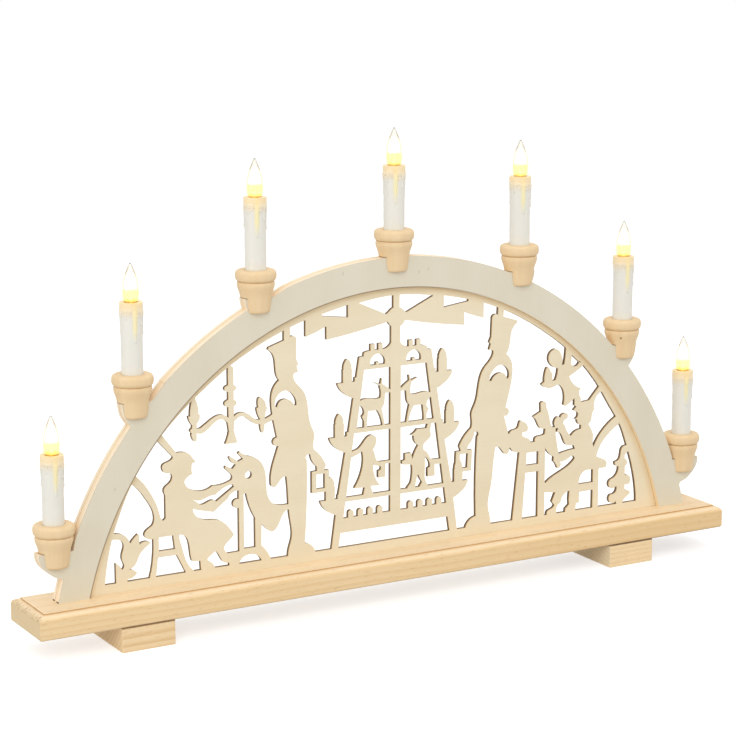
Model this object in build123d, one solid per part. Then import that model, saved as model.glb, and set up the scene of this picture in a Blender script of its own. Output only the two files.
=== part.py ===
from build123d import *
import math
import os

# A seven-light wooden candle arch. Millimetres, +Z up, +Y to the back.
# The origin is on the standing surface, under the middle of the base board.

# Base board and its two feet
base_length = 600.0
base_depth = 56.2
board_thickness = 18.55
foot_height = 18.25
foot_length = 41.8
left_foot_x = -216.9
right_foot_x = 208.7
moulding_radius = 4.2
moulding_step = 1.2
lower_edge_radius = 2.0
foot_edge_radius = 0.8

# The arch is two plywood rings with the fretwork panel between them
arch_half_width = 283.9
arch_height = 227.5
arch_drop = 66.1
ring_width = 23.8
ring_thickness = 4.0
panel_thickness = 3.0
bottom_bar_height = 6.9
tongue_depth = 6.0
groove_clearance = 0.2

# Turned cups that sit astride the arch
cup_rim_radius = 15.2
cup_seat_radius = 12.2
cup_rim_height = 8.3
cup_body_height = 23.4
cup_seat_drop = 12.3
cup_bore_depth = 12.0
cup_mouth_chamfer = 0.6
wire_hole_radius = 2.5
straddle_clearance = 0.1

# Plastic candle sleeves, lamp holders and screw-in lamps
sleeve_radius = 7.9
sleeve_wall = 1.15
sleeve_clearance = 0.1
candle_reach = 60.0
holder_collar_height = 7.0
holder_collar_radius = 8.4
holder_body_length = 13.0
holder_clearance = 0.1
shell_wall = 0.35
thread_radius = 4.75
thread_clearance = 0.05
cap_length = 9.5
contact_radius = 1.8
contact_height = 1.2
lamp_gap = 0.3
neck_radius = 6.2
neck_height = 7.0
bulb_length = 28.2
tip_radius = 0.7
glass_wall = 0.6
lead_width = 0.6
lead_spacing = 2.2
bead_radius = 1.3
overrun = 5.0

# Heights and layers worked out from the sizes above
board_top = foot_height + board_thickness
arch_centre_z = board_top - arch_drop
outer_rise = arch_drop + arch_height
inner_half_width = arch_half_width - ring_width
inner_rise = outer_rise - ring_width
arch_thickness = 2 * ring_thickness + panel_thickness
front_face_y = -arch_thickness / 2
panel_face_y = front_face_y + ring_thickness
back_ring_y = panel_face_y + panel_thickness

# Cup places: share of the half width from the middle, and share of the rise that it sits at
cup_x_shares = [-0.9739, -0.7517, -0.4023, 0.0081, 0.4051, 0.7559, 0.9753]
cup_seat_shares = [0.3522, 0.6993, 0.9281, 1.0, 0.9312, 0.7013, 0.3552]
candle_reach_shares = [0.977, 1.003, 1.02, 0.937, 1.02, 0.978, 1.015]

# Shoulder of the arch under each cup, in shares of the cup's rim radius, out and down
end_shoulder_shares = [(0.89, 0), [(0.895, -0.18), (0.80, -0.51), (0.61, -0.77), (0.38, -1.0),
                       (0.12, -1.18), (-0.19, -1.28)], (-0.30, -1.43), (-0.17, -1.86)]
high_shoulder_shares = [(0.69, 0), [(0.645, -0.32), (0.58, -0.59), (0.43, -0.89), (0.2, -1.2)]]
top_shoulder_shares = [(0.72, 0), [(0.68, -0.30), (0.56, -0.62)]]
crown_shoulder_shares = [(0.6, 0), (0.7, -0.1)]
shoulder_inside_shares = [(-0.8, -1.3), (-1.2, 0)]
crown_inside_shares = [(-0.8, -0.3), (-0.7, 0)]
shoulder_side_shares = [
    end_shoulder_shares + shoulder_inside_shares,
    high_shoulder_shares + shoulder_inside_shares,
    top_shoulder_shares + shoulder_inside_shares,
    crown_shoulder_shares + crown_inside_shares,
    top_shoulder_shares + shoulder_inside_shares,
    high_shoulder_shares + shoulder_inside_shares,
    end_shoulder_shares + shoulder_inside_shares,
]
notch_flare_shares = [0.22, 0.9, 2.0, 0.2, 2.0, 0.9, 0.22]

# Turned outline of a cup, from its foot to the groove: shares of the rim's radius and of the
# body's height. Then the rim above it: shares of the rim's radius and of the rim's height.
cup_body_shares = [(0.59, 0), (0.66, 0.04), (0.69, 0.12), (0.75, 0.45), (0.79, 0.6),
                   (0.87, 0.75), (0.915, 0.87), (0.91, 0.95), (0.87, 1)]
cup_rim_shares = [(0.96, 0.12), (0.995, 0.32), (1, 0.52), (0.985, 0.74), (0.94, 0.91), (0.85, 1)]

# Side of a lamp's glass above its neck: shares of the neck's radius and of the height to the tip
glass_side_shares = [(0.985, 0.1), (0.88, 0.3), (0.69, 0.52), (0.43, 0.76)]

# The fretwork is drawn on a grid: 283.9 squares from the middle to the arch's outer end,
# 227.5 squares from the board's top to the crown. Every table below is in those squares,
# (across, up), where the board's top is at 36.8. A point is a straight run to it. A list of
# two points is an arc through the first to the second, and a longer list a smooth curve.
half_width_share = 283.9
height_share = 227.5
board_top_share = 36.8

rim_shares = [
    (-239, 43.7), [(-236.7, 60), (-231, 82), (-226.5, 94), (-219.5, 110), (-206.5, 131),
                   (-190, 151.3), (-163, 175.5), (-140, 192.3), (-95, 215.3), (-60, 226.5),
                   (-28, 232.6), (3, 235), (34.5, 232.4), (64, 226.7), (101.5, 214.3),
                   (140, 193), (159.7, 178.6), (177, 162.5), (192.3, 143.7), (205, 124),
                   (213.7, 110.5), (220.9, 92.5), (226, 77), (230.5, 57), (231.6, 43.7)],
]
plant_shares = [
    (-230.2, 40), (-230.2, 58.8), [(-227.7, 56.8), (-225.3, 53.2)],
    [(-223.6, 56.3), (-225, 60), (-224.8, 66), (-223.6, 71), (-225.6, 75), (-232.5, 76.6),
     (-238, 77)], (-237, 81), [(-231, 80.9), (-224.5, 79.5), (-220.5, 76), (-218.6, 71.8)],
    [(-215.5, 75.5), (-212.3, 78.2)], (-211.3, 77), (-211.3, 69.9), [(-207.5, 71.8),
    (-202.3, 70.3)], [(-207, 67), (-211, 63), (-214, 57), (-219.9, 52.8)],
    [(-216, 51.3), (-213.6, 49.4)], [(-216.5, 46.5), (-221, 45.6)], (-221.5, 43.7), (-221.5, 40),
]
lace_maker_shares = [
    (-203.6, 40), (-203.6, 43.7), [(-201.6, 52), (-200.2, 65), (-200.2, 73.2)],
    [(-205, 73.6), (-207.2, 76.5), (-205.3, 80), (-200.6, 83.2), (-199.2, 88.5), (-204.7, 102),
     (-211, 110.7), (-219, 117.5)], (-215, 123), [(-206, 113.7), (-199.5, 103), (-195, 91),
    (-192.3, 85.5), (-190.1, 87)], (-190.1, 104), [(-189.6, 110.6), (-185.2, 114.3),
    (-184.4, 118), (-188.5, 120.4)], [(-191.5, 122.3), (-191.9, 126.5), (-186, 129.3),
    (-183.4, 131.8)], (-199, 149), (-195, 153), (-180.6, 134.5),
    [(-174.5, 134.4), (-169.8, 132), (-168.3, 129.8)], (-165.4, 126.2), (-168.3, 125.3),
    [(-168.9, 121), (-168.3, 117.3)], [(-171.5, 116), (-174.8, 112.6)],
    [(-172.5, 108), (-167, 104.8), (-160, 103.6), (-155.5, 104.5), (-152, 106.3)],
    [(-144, 106.4), (-136.5, 108.7)], [(-136, 111.8), (-138.5, 114.8), (-141.8, 118.7)],
    (-140.8, 119.7), (-135.6, 116.9), (-132.8, 119.8), [(-136, 122), (-138.5, 126)],
    (-137.2, 126.4), (-130.8, 121.9), (-126.9, 123.5), (-130.9, 128), (-129.5, 129.4),
    [(-125.5, 126.3), (-118.5, 124), (-111.8, 118.7), (-108.3, 108.5), (-106.7, 92.5),
     (-103.6, 87.2), (-97.5, 84.5), (-86, 84.4)], (-86, 79), [(-91.5, 79.4), (-95, 75.5),
    (-98.5, 68.5), (-103, 64.8), (-108.5, 68.2), (-112.2, 71.7)], (-112.5, 55.5),
    [(-107.3, 49.3), (-104.5, 43.7)], (-104.5, 40),
]
lace_maker_gap_shares = [
    [(-196, 73.3), (-184.3, 73.3), (-183.1, 62.8), (-196, 62.8)],
    [(-196.8, 58.2), (-181.8, 58.2), (-174.6, 43.7), (-198.7, 43.7)],
    [(-179.5, 73), [(-174.3, 70.8), (-171.6, 64), (-169.3, 51.5)], (-162.8, 50.8), (-162.3, 43.7),
     (-167.5, 43.7), [(-172.5, 49), (-177, 61), (-179.5, 70)]],
    [(-157, 51.8), (-150.5, 56.6), [(-147.3, 52.5), (-143.6, 47), (-139.5, 46.3)], (-139, 43.7),
     (-150.5, 43.7), [(-153, 47.3), (-157, 50.5)]],
    [(-168.5, 98.4), [(-160, 97.2), (-155, 98.8), (-150, 99.2)], [(-144.5, 103), (-135.8, 105.6)],
     (-134.5, 103.4), (-149.2, 94), [(-154, 95.4), (-160, 93.3), (-164, 94.8)]],
    [(-168.5, 91), [(-160, 88.5), (-151.5, 86.5)], (-140, 95), [(-134, 99.8), (-130.6, 100)],
     (-130.8, 93.6), [(-135.4, 91.3), (-130.7, 86.9)], (-130.7, 53.4), (-140.3, 53.2),
     [(-143, 59), (-139, 63.2), (-135.2, 67)], [(-140, 74), (-148, 79.9), (-157, 81.2),
     (-164, 83.8), (-168, 89)]],
    [(-126.8, 54.8), (-126.8, 97), (-124.6, 97), [(-122, 87), (-117.4, 77.2)], (-117.3, 54.8)],
    [(-131, 43.7), [(-127.5, 48.5), (-121.5, 50), (-115.5, 48), (-112.4, 43.7)]],
]
lace_maker_eye_share = (-122.6, 110.8)
lace_maker_eye_radius_share = 2.9
miner_shares = [
    (-90, 40), (-90, 43.7), [(-89, 50), (-86.9, 57), (-88.5, 75), (-89.7, 93), (-90.8, 105.4)],
    [(-96, 103.7), (-101.3, 98.6), (-103.9, 100.5)], [(-103.6, 110), (-99.6, 123.3), (-97.3, 130)],
    [(-101.9, 132.7), (-98.5, 136.3)], [(-100.6, 146), (-103, 160), (-102.6, 170),
    (-96.4, 179.5)], [(-98.8, 184.3), (-99.8, 193.8), (-105.5, 203.3)], (-104.8, 205),
    (-92.1, 209), (-92.1, 223), (-87.1, 223), (-87, 211), [(-83, 211), (-81.9, 208)],
    (-82, 194), (-80.4, 189.9), (-81.8, 188.6), (-80.6, 184), [(-84.5, 182.5), (-83.5, 177.8),
    (-77, 170.2), (-73, 160), (-70, 142.3), (-67.2, 135), (-68, 129), (-67.6, 123.5)],
    [(-62.8, 119), (-57.4, 110.3)], (-59, 106.3), (-54.8, 106.3), (-54.8, 89.6), (-69.3, 89.6),
    (-69.3, 106.3), (-65, 106.5), (-65.1, 109.8), [(-68.3, 113.3), (-70.6, 119.8)],
    [(-72.6, 120.3), (-73.6, 116)], [(-73.9, 83), (-75.8, 52)], [(-69.5, 48.8), (-66.7, 43.7)],
    (-66.7, 40),
]
miner_lantern_gap_shares = [(-65.6, 103.8), (-65.6, 92.4), (-58.3, 92.4), (-58.3, 103.8)]
miner_crescent_shares = [(-100, 160.3), [(-97.4, 168.5), (-92, 171.2), (-85.5, 168), (-82.2, 159)],
                         (-84.2, 159.3), [(-87.5, 163.4), (-92.5, 164.7), (-98.4, 159)]]
miner_mirror_share = 0.3
miner_lean_share = 0.0476
bar_top_share = 44
chandelier_shares = [
    [(-138.3, 196), (-138.3, 155.8), [(-146, 158.8), (-153, 155.9), (-161.5, 150.5)],
     (-164.2, 150.7), (-164, 154.5), [(-161.8, 158), (-161.5, 160.7)], (-162.6, 160.8),
     [(-163.3, 168.5), (-164.8, 172.5)], (-164.8, 177), (-168, 177), (-168, 170.5),
     [(-169.1, 165), (-169.3, 160.5)], (-170.8, 160.5), [(-169.9, 157), (-167.6, 153.5)],
     (-167.8, 151.3), (-169.3, 150.3), (-169.3, 149), (-168, 147.5), [(-167.3, 142.9),
     (-165.7, 141.2), (-164.4, 143)], (-164.2, 147.2), [(-156.5, 148.3), (-147, 155.2),
     (-139, 152.2)], (-138, 145.5), [(-139.5, 140), (-141.2, 136.4)], (-131.6, 136.4),
     [(-132.7, 141), (-134.2, 146)], (-133.7, 152.5), [(-126, 155.4), (-119.5, 150.6),
     (-112.3, 148.2)], [(-112, 144), (-110.8, 141.4), (-109.3, 143.5)], (-108.8, 147.8),
     (-99, 150.8), (-99, 155.8), (-105, 152.9), (-108.5, 151.5), [(-108.4, 154.5),
     (-106.2, 160)], (-107.7, 161), [(-108.8, 165.5), (-111.3, 168), (-113.9, 160.8)],
     (-115.3, 160.5), [(-114.6, 156.5), (-112.4, 151.6)], [(-117.5, 153), (-123, 157.4),
     (-129, 158.6), (-134, 156)], (-134, 193)],
]
bead_shares = [(-136.6, 177.7, 4.85, 2.75), (-136.6, 166.5, 4.85, 3.0)]
pyramid_axis_share = 3.3
pyramid_half_shares = [(-52.6, 40), (-52.6, 43.7), (-47.2, 82.5), (-38.3, 130), (-28.3, 190),
                       (-24.6, 190.2), (-24.3, 192.8), [(-21.5, 193.7), (-18.6, 193.9)],
                       (-18.6, 198.8), (-15, 198.8), (-15, 194.1), (-11.8, 194.1),
                       (-11.8, 198.8), (-8.3, 198.8), (-8.3, 194), [(-4.5, 194.8), (-0.6, 198.3)],
                       (-0.6, 214), (3.3, 214), (3.3, 40)]
pyramid_slot_shares = [(-46.8, 43.7), (-45, 55.3), (50.6, 55.3), (52.4, 43.7)]
fence_tier_shares = [(-42.6, 66.5), (-40.8, 79.3), (-1.2, 79.3), (-1.2, 66.5)]
children_tier_shares = [(-40, 82.6), (-33, 131.7), (-1.2, 131.7), (-1.2, 82.6)]
deer_tier_shares = [(-30.8, 135.2), (-24.3, 179.8), (-1.2, 179.8), (-1.2, 135.2)]
roof_window_shares = [(-18.8, 182.7), [(-17, 189.3), (-12.6, 191.2), (-8.1, 189.3), (-6.3, 182.7)],
                      (-11.3, 182.7), (-11.3, 184.7), (-13.9, 184.7), (-13.9, 182.7)]
picket_edge_shares = [-38.2, -29.7, -21.2, -12.7]
picket_width_share = 4.6
picket_foot_share = 66
picket_shoulder_share = 69.9
side_candle_shares = [
    (-8.7, 0), (-3.8, 0), (-3.8, 10), (-3.2, 10.4), [(-2.5, 15), (0, 17.8), (2.5, 15), (3.2, 10.4)],
    (3.8, 10), (3.8, 0), (6.3, 0), (6.3, 3), (9, 3), (9, -12.4), (4.1, -12.4),
    [(-1.4, -9.4), (-5.4, -6.1), (-8.7, 0)],
]
side_candle_place_shares = [(-53.6, 82.4), (-45.6, 130.2), (-38.6, 171.6)]
rotor_axis_share = 3.9
rotor_half_shares = [(-74.1, 228), (-74.1, 210), [(-65.8, 212.5), (-57.5, 216)], (-56.4, 216),
                     (-56.4, 206), [(-40, 208.2), (-20, 211.5), (3.9, 216.5)], (3.9, 238)]
rotor_gap_shares = [(-60.3, 225.8), (-38, 230.8), (-38, 221.3), (-60.3, 224.2)]
rotor_inner_gap_shares = [(-28.8, 231.3), [(-14, 233.6), (1.3, 234.7)], (1.3, 225), (-5, 220.6)]
hub_share = (3.9, 217.6)
hub_radius_share = 7.9
deer_shares = [
    (-24.3, 134), (-24.3, 140), (-26.2, 144), [(-24.3, 146), (-24.8, 149.5), (-29.5, 153)],
    (-28.5, 155.5), [(-22, 157.3), (-15, 156.4), (-10, 156.8)], [(-9.5, 160), (-10.5, 164.8)],
    (-10.3, 166), (-16, 169.2), (-10, 167.5), (-9, 171.7), (-8.3, 171.3), (-8.8, 167.5),
    [(-5.3, 165.3), (-1, 161.8)], (-1, 160.2), (-6, 160), [(-6.3, 156), (-7, 151.5), (-9, 148.5)],
    (-7.5, 142), (-6, 134), (-8, 134), [(-9.3, 140.5), (-13, 147.5)], (-20.8, 147.5),
    (-22, 138), (-21.8, 134),
]
girl_shares = [
    (-38, 112.8), (-38, 116.5), (-33, 118.2), [(-27, 121.2), (-22.8, 126), (-18.5, 128.6),
    (-14.4, 127), (-13.9, 122), (-16.9, 117)], [(-15, 113.2), (-13, 108), (-11, 106.9)],
    (0, 106.9), (0, 104.8), (-5.6, 104.8), (-5.8, 94.5), (-11.8, 94.5), (-11.8, 99.8),
    (-9.7, 100.5), [(-9.8, 103), (-12.5, 104), (-16.2, 106.2)], [(-15.7, 98), (-13.7, 93),
    (-10.4, 88.5)], (-18.6, 88.9), [(-17.6, 85.5), (-16, 82)], (-25, 82), (-23.6, 88.4),
    (-32.8, 88.8), [(-28, 97), (-25.4, 106), (-25.1, 112), (-26, 117)], [(-30, 115), (-38, 112.8)],
]
boy_shares = [
    (13.9, 81), (13.9, 82.9), (17.2, 86.7), [(18.3, 93), (18.2, 100.2)], [(13.5, 101.6),
    (9.3, 102.7), (9.5, 105)], (11.8, 105.4), (11.8, 110.4), (17.3, 110.5), (18.2, 105.1),
    [(20.8, 111), (23.7, 115.8)], [(20.5, 118.8), (19.8, 123.5)], (16.7, 124.6),
    [(20, 126), (22.5, 128.6)], (31, 128.3), (32.5, 133), (35.5, 133), (34, 126),
    [(33, 119.8), (29.3, 117), (28.7, 111)], [(31.8, 108.6), (34.5, 104.3), (37.5, 102.8)],
    (45, 102.6), (45, 98.5), (38.3, 98.9), (38.4, 89.8), (32.2, 89.6), (32.2, 96.3),
    (34.2, 97.3), [(33.3, 102), (29.7, 106)], (29.5, 90), [(30.3, 86.5), (32.3, 82.9)],
    (32.3, 81), (25.2, 81), (25.2, 83), (27.2, 86), [(25, 89.6), (23.5, 93)],
    [(22, 88.8), (21, 83)], (21, 81),
]
work_shares = [
    (104, 116.5), (107, 114.4), [(109.5, 117.1), (115.2, 118.7), (117.2, 123.7), (120.3, 122.8)],
    [(124, 119.6), (124.6, 116.8), (119.6, 114.8)], [(119.8, 111.3), (124.5, 109), (127, 105.4)],
    (131.3, 105.3), [(132.6, 109), (137, 109.7), (140.8, 110.7)], (141.3, 115.2),
    [(135.7, 116.6), (133, 121.5), (129.3, 125.8)], (136.8, 129.3), (136.4, 135.8),
    [(139, 137.2), (141.7, 135.4)], (142, 131.5), [(143.9, 127), (145.6, 120), (147.5, 115.2)],
    (150.7, 115.2), [(149.8, 119.7), (152, 122.8), (155.7, 122.1)], [(158, 124.9),
    (161.6, 124.9), (161.7, 120.6)], [(158.4, 118.2), (160, 115.2)], [(162, 110.5),
    (166, 105.9)], [(170, 109.4), (175.6, 110.8)], (175.8, 114), [(173, 115.3), (171.8, 118.9)],
    (169.3, 119.6), [(172.3, 121.6), (172, 124.8)], (168, 126.8), (170.9, 129.6),
    [(168.8, 131.6), (169.6, 134.4), (169, 137.4)], (173, 140), (175.3, 132.7),
    [(179, 133), (183.2, 133.4)], (192.5, 143.5), (198, 144), (195.5, 139.5),
    [(190.4, 136.2), (188.2, 132), (188.3, 125.3)], [(186, 121), (185.3, 117), (182.5, 114)],
    [(185.6, 109.3), (187.6, 104)], (187.2, 97), (188.2, 94.2),
    [(193.3, 102.8), (201, 110.9), (209.7, 117)], (214, 116), (213, 110.8),
    [(204, 104.7), (196.5, 97.3), (191.2, 86.2)], [(196, 84), (200.8, 81), (200.5, 76)],
    (193.6, 75.8), (193.6, 40), (143, 40), (143.9, 44), [(144.6, 46.7), (149.5, 48.9),
    (151.1, 51)], (148.6, 53.9), (151.8, 61.3), (141.2, 62.8), (141.2, 40), (134.9, 40),
    (134.9, 44), (120, 43.9), (120, 40), (111, 40), (111, 44), (116.9, 98.8),
    [(112.4, 99.2), (108.3, 103.4)], (104, 103.4),
]
work_gap_shares = [
    [(123.5, 97.3), (134.9, 97.3), (134.9, 87), (123.5, 87)],
    [(122.6, 81), (134.9, 81), (134.9, 43.7), (120, 43.7)],
    [(150.9, 114), (153.6, 114.2), (152.2, 110.9), [(158.7, 103.9), (161, 99.9), (163.6, 98.6)],
     (168.8, 98.1), (170, 95.1), [(161, 94.1), (154.3, 92.7)], [(152.9, 99), (151.2, 108.5)]],
    [(141.2, 99.4), [(145, 94.3), (149.8, 90.9)], (149.5, 87.3), [(151.8, 84.7), (153.3, 81.2)],
     [(156.5, 83.2), (155.3, 86)], [(158.5, 86.2), (162, 87.2), (168.5, 89.5), (170, 86.8)],
     [(161, 80.2), (150, 75.3), (142, 70.1)], (141.2, 71)],
    [(174.5, 65.1), [(175.3, 71), (181, 76.1)], (188.2, 75.9), (188.2, 65.1)],
    [(174.9, 58.6), (188.2, 58.8), (188.2, 43.8), (171.3, 43.8), (172, 49.5), (174.9, 50)],
    [(153, 43.7), [(153.4, 49), (157, 52.5)], [(158.6, 57), (165.5, 61)], (165, 53.5),
     (165.4, 49.4), (161.7, 46.3), (161.7, 43.7)],
]
angel_shares = [
    (158.3, 132.2), [(159, 139.5), (156.3, 147), (152, 149.9)], [(143, 147.7), (136.7, 151.2)],
    (139.7, 153), [(140.2, 159.8), (142.3, 164.4), (145.4, 160.5)], (147, 159.3), (147.2, 152.9),
    (150.3, 153.4), [(151.8, 158), (152.4, 162.8)], [(147.2, 164.7), (143.3, 170.3), (144.8, 176),
    (150, 178.5), (155, 174), (155.6, 164.9)], (158.3, 165.3), [(159.4, 172), (159.9, 179)],
    (164, 180), (172.6, 170), (172.6, 165.8), (178.2, 163.7), [(170, 158.6), (163.2, 155)],
    [(167, 148.9), (174.7, 144.2)], [(173, 140.2), (174.5, 137)], (175.5, 132), (169, 132.5),
    (168.7, 136.8), [(164.5, 133.6), (160.3, 131.2)],
]
wing_gap_shares = [(165.3, 172.3), (172.7, 165.8), [(167.3, 162.8), (164.8, 165)]]
toy_shares = [
    (226, 94), (221, 91.8), [(215.7, 88), (214.6, 82), (210, 79.4)], [(210, 77),
    (213.4, 75.3)], [(212.6, 70), (206.5, 65.3)], [(204, 62.4), (211.4, 59.1)],
    [(211.3, 54.3), (206.5, 52.5)], [(204.3, 49), (211.2, 46.1)], (212, 43.7), (212, 40),
    (218, 40), (218, 44.2), [(220.5, 47.7), (225, 51), (219.8, 55)], (219.8, 59.3),
    [(225.3, 60.8), (225, 64.6), (219.8, 66.8)], (219.6, 74.4), [(222, 77.7), (219.6, 80.5)],
    [(220.2, 84.8), (223, 86.4)], (228, 86),
]


def place(square):
    """The place, across and up, of a point of the grid."""
    across = square[0] * arch_half_width / half_width_share
    up = board_top + (square[1] - board_top_share) * arch_height / height_share
    return (across, up)


def drawn(outline_shares, put=place):
    """The flat shape inside an outline of straight runs and smooth curves."""
    first = put(outline_shares[0])
    last = first
    edges = []
    for step in outline_shares[1:]:
        if isinstance(step, list):
            points = [last] + [put(point) for point in step]
            curve = ThreePointArc if len(points) == 3 else Spline
            edges.append(curve(*points))
        else:
            points = [last, put(step)]
            edges.append(Line(*points))
        last = points[-1]
    if last != first:
        edges.append(Line(last, first))
    return make_face(Curve() + edges)


def mirrored(outline_shares, axis_share, lean_share=0):
    """An outline flipped over about an upright line, with a slight lean."""
    flipped = []
    for step in outline_shares:
        if isinstance(step, list):
            flipped.append(mirrored(step, axis_share, lean_share))
        else:
            across = 2 * axis_share - step[0] + lean_share * (step[1] - bar_top_share)
            flipped.append((across, step[1]))
    return flipped


def moved(outline_shares, by_share):
    """An outline moved across and up on the grid."""
    shifted = []
    for step in outline_shares:
        if isinstance(step, list):
            shifted.append(moved(step, by_share))
        else:
            shifted.append((step[0] + by_share[0], step[1] + by_share[1]))
    return shifted


def both_sides(outline_shares, axis_share):
    """An outline and its mirror image, as two flat shapes."""
    return [drawn(outline_shares), drawn(mirrored(outline_shares, axis_share))]


def joined(shapes):
    """One flat shape from many."""
    total = shapes[0]
    for shape in shapes[1:]:
        total = total + shape
    return total


def cup_place(index):
    """Axis and seat height of one cup."""
    x = cup_x_shares[index] * arch_half_width
    seat_z = arch_centre_z + cup_seat_shares[index] * outer_rise
    return (x, seat_z)


def shoulder(index):
    """The solid wood of the arch that carries one cup, with its flat seat."""
    x, seat_z = cup_place(index)
    side = math.copysign(1, index - len(cup_x_shares) // 2)

    def put(point):
        return (x + side * point[0] * cup_rim_radius, seat_z + point[1] * cup_rim_radius)

    return drawn(shoulder_side_shares[index], put)


def notch(index):
    """The room above a seat that is cut out of the arch for the cup."""
    x, seat_z = cup_place(index)
    low = cup_seat_radius
    rise = cup_seat_drop
    high = low + notch_flare_shares[index] * rise
    return Polyline((x - low, seat_z), (x - high, seat_z + rise), (x + high, seat_z + rise),
                    (x + low, seat_z), close=True)


def layer(flat, face_y, thickness):
    """A flat shape of the arch as a sheet of wood, standing upright."""
    standing = Plane(origin=(0, face_y, 0), x_dir=(1, 0, 0), z_dir=(0, -1, 0))
    return extrude(standing * flat, amount=-thickness)


def arch_sheet(face_y, thickness):
    """One layer of the arch in full, down to the board's top, with a seat for each cup."""
    middle = Pos(0, arch_centre_z)
    sheet = layer(middle * Ellipse(arch_half_width, outer_rise), face_y, thickness)
    for index in range(len(cup_x_shares)):
        sheet = sheet + layer(shoulder(index), face_y, thickness)
    for index in range(len(cup_x_shares)):
        sheet = sheet - layer(make_face(notch(index)), face_y, thickness)
    below = Pos(0, board_top - outer_rise) * Rectangle(3 * arch_half_width, 2 * outer_rise)
    return sheet - layer(below, face_y, thickness)


def pyramid():
    """The pyramid in the middle, with its tiers, fence, deer, children and side candles."""
    axis = pyramid_axis_share
    solid = joined(both_sides(pyramid_half_shares, axis))
    gaps = [drawn(pyramid_slot_shares)]
    for tier in [fence_tier_shares, children_tier_shares, deer_tier_shares, roof_window_shares]:
        gaps += both_sides(tier, axis)
    for gap in gaps:
        solid = solid - gap
    pieces = [solid, drawn(girl_shares), drawn(boy_shares)]
    pieces += both_sides(deer_shares, axis)
    for left in picket_edge_shares:
        right = left + picket_width_share
        middle = (left + right) / 2
        top = picket_shoulder_share + picket_width_share / 2
        picket = [(left, picket_foot_share), (left, picket_shoulder_share),
                  [(middle, top), (right, picket_shoulder_share)], (right, picket_foot_share)]
        pieces += both_sides(picket, axis)
    for place_share in side_candle_place_shares:
        pieces += both_sides(moved(side_candle_shares, place_share), axis)
    return joined(pieces)


def rotor():
    """The vane wheel on top of the pyramid, with its hub."""
    axis = rotor_axis_share
    solid = joined(both_sides(rotor_half_shares, axis))
    for gap in [rotor_gap_shares, rotor_inner_gap_shares]:
        for shape in both_sides(gap, axis):
            solid = solid - shape
    hub_radius = hub_radius_share * arch_half_width / half_width_share
    return solid + Pos(*place(hub_share)) * Circle(hub_radius)


def miner(turn):
    """A miner with a lamp, and the crescent on the chest left open."""
    solid = drawn(turn(miner_shares))
    solid = solid - drawn(turn(miner_lantern_gap_shares))
    return solid - drawn(turn(miner_crescent_shares))


def lace_maker():
    """The lace maker on a chair, with the pillow on its stand."""
    solid = drawn(lace_maker_shares)
    for gap in lace_maker_gap_shares:
        solid = solid - drawn(gap)
    eye_radius = lace_maker_eye_radius_share * arch_half_width / half_width_share
    return solid - Pos(*place(lace_maker_eye_share)) * Circle(eye_radius)


def carver():
    """The toy carver on a stool at the bench."""
    solid = drawn(work_shares)
    for gap in work_gap_shares:
        solid = solid - drawn(gap)
    return solid


def chandelier():
    """The hanging candle holder between the lace maker and the miner."""
    solid = drawn(chandelier_shares[0])
    for across, up, half_width, half_height in bead_shares:
        scale = arch_half_width / half_width_share
        bead = Ellipse(half_width * scale, half_height * scale)
        solid = solid + Pos(*place((across, up))) * bead
    return solid


def lean_over(outline_shares):
    return mirrored(outline_shares, miner_mirror_share / 2, miner_lean_share)


def fretwork_panel():
    """The middle layer: rim, bottom bar, tongue and every figure, cut from one sheet."""
    panel = arch_sheet(panel_face_y, panel_thickness)
    panel = panel - layer(drawn(rim_shares), panel_face_y, panel_thickness)
    angel = drawn(angel_shares) - drawn(wing_gap_shares)
    figures = [lace_maker(), chandelier(), miner(list), pyramid(), rotor(), miner(lean_over)]
    figures += [carver(), angel, drawn(plant_shares), drawn(toy_shares), panel_tongue()]
    for figure in figures:
        panel = panel + layer(figure, panel_face_y, panel_thickness)
    return panel


def ring(face_y):
    """A ring of the arch between its outer edge and the inner curve."""
    inner = Pos(0, arch_centre_z) * Ellipse(inner_half_width, inner_rise)
    return arch_sheet(face_y, ring_thickness) - layer(inner, face_y, ring_thickness)


def base_board():
    """The board with a moulded upper edge and the groove that holds the panel's tongue."""
    lower_height = board_thickness - moulding_step
    lower = Pos(0, 0, foot_height + lower_height / 2) * Box(base_length, base_depth, lower_height)
    upper_edges = lower.edges().group_by(Axis.Z)[-1]
    lower = fillet(upper_edges, moulding_radius)
    lower_edges = lower.edges().group_by(Axis.Z)[0]
    lower = fillet(lower_edges, lower_edge_radius)
    inset = 2 * (moulding_radius + moulding_step)
    top = Pos(0, 0, board_top - moulding_step) * Box(base_length - inset, base_depth - inset,
                                                     2 * moulding_step)
    cut_length = 2 * panel_half_length() + 2 * groove_clearance
    groove = Box(cut_length, panel_thickness + groove_clearance, 2 * tongue_depth)
    return lower + top - Pos(0, 0, board_top) * groove


def panel_half_length():
    """Half of the panel's length where it meets the board."""
    return arch_half_width * math.sqrt(1 - (arch_drop / outer_rise) ** 2)


def foot(x):
    block = Pos(x, 0, foot_height / 2) * Box(foot_length, base_depth, foot_height)
    return fillet(block.edges().filter_by(Axis.Z), foot_edge_radius)


def panel_tongue():
    """The panel's lower edge, let into the board."""
    length = 2 * panel_half_length()
    return Pos(0, board_top - tongue_depth / 2) * Rectangle(length, tongue_depth)


def turned(points_and_curves, x, z):
    """A round piece on an upright axis from half its section."""
    half = drawn(points_and_curves, lambda point: point)
    return Pos(x, 0, z) * revolve(Plane.XZ * half, Axis.Z)


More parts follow.
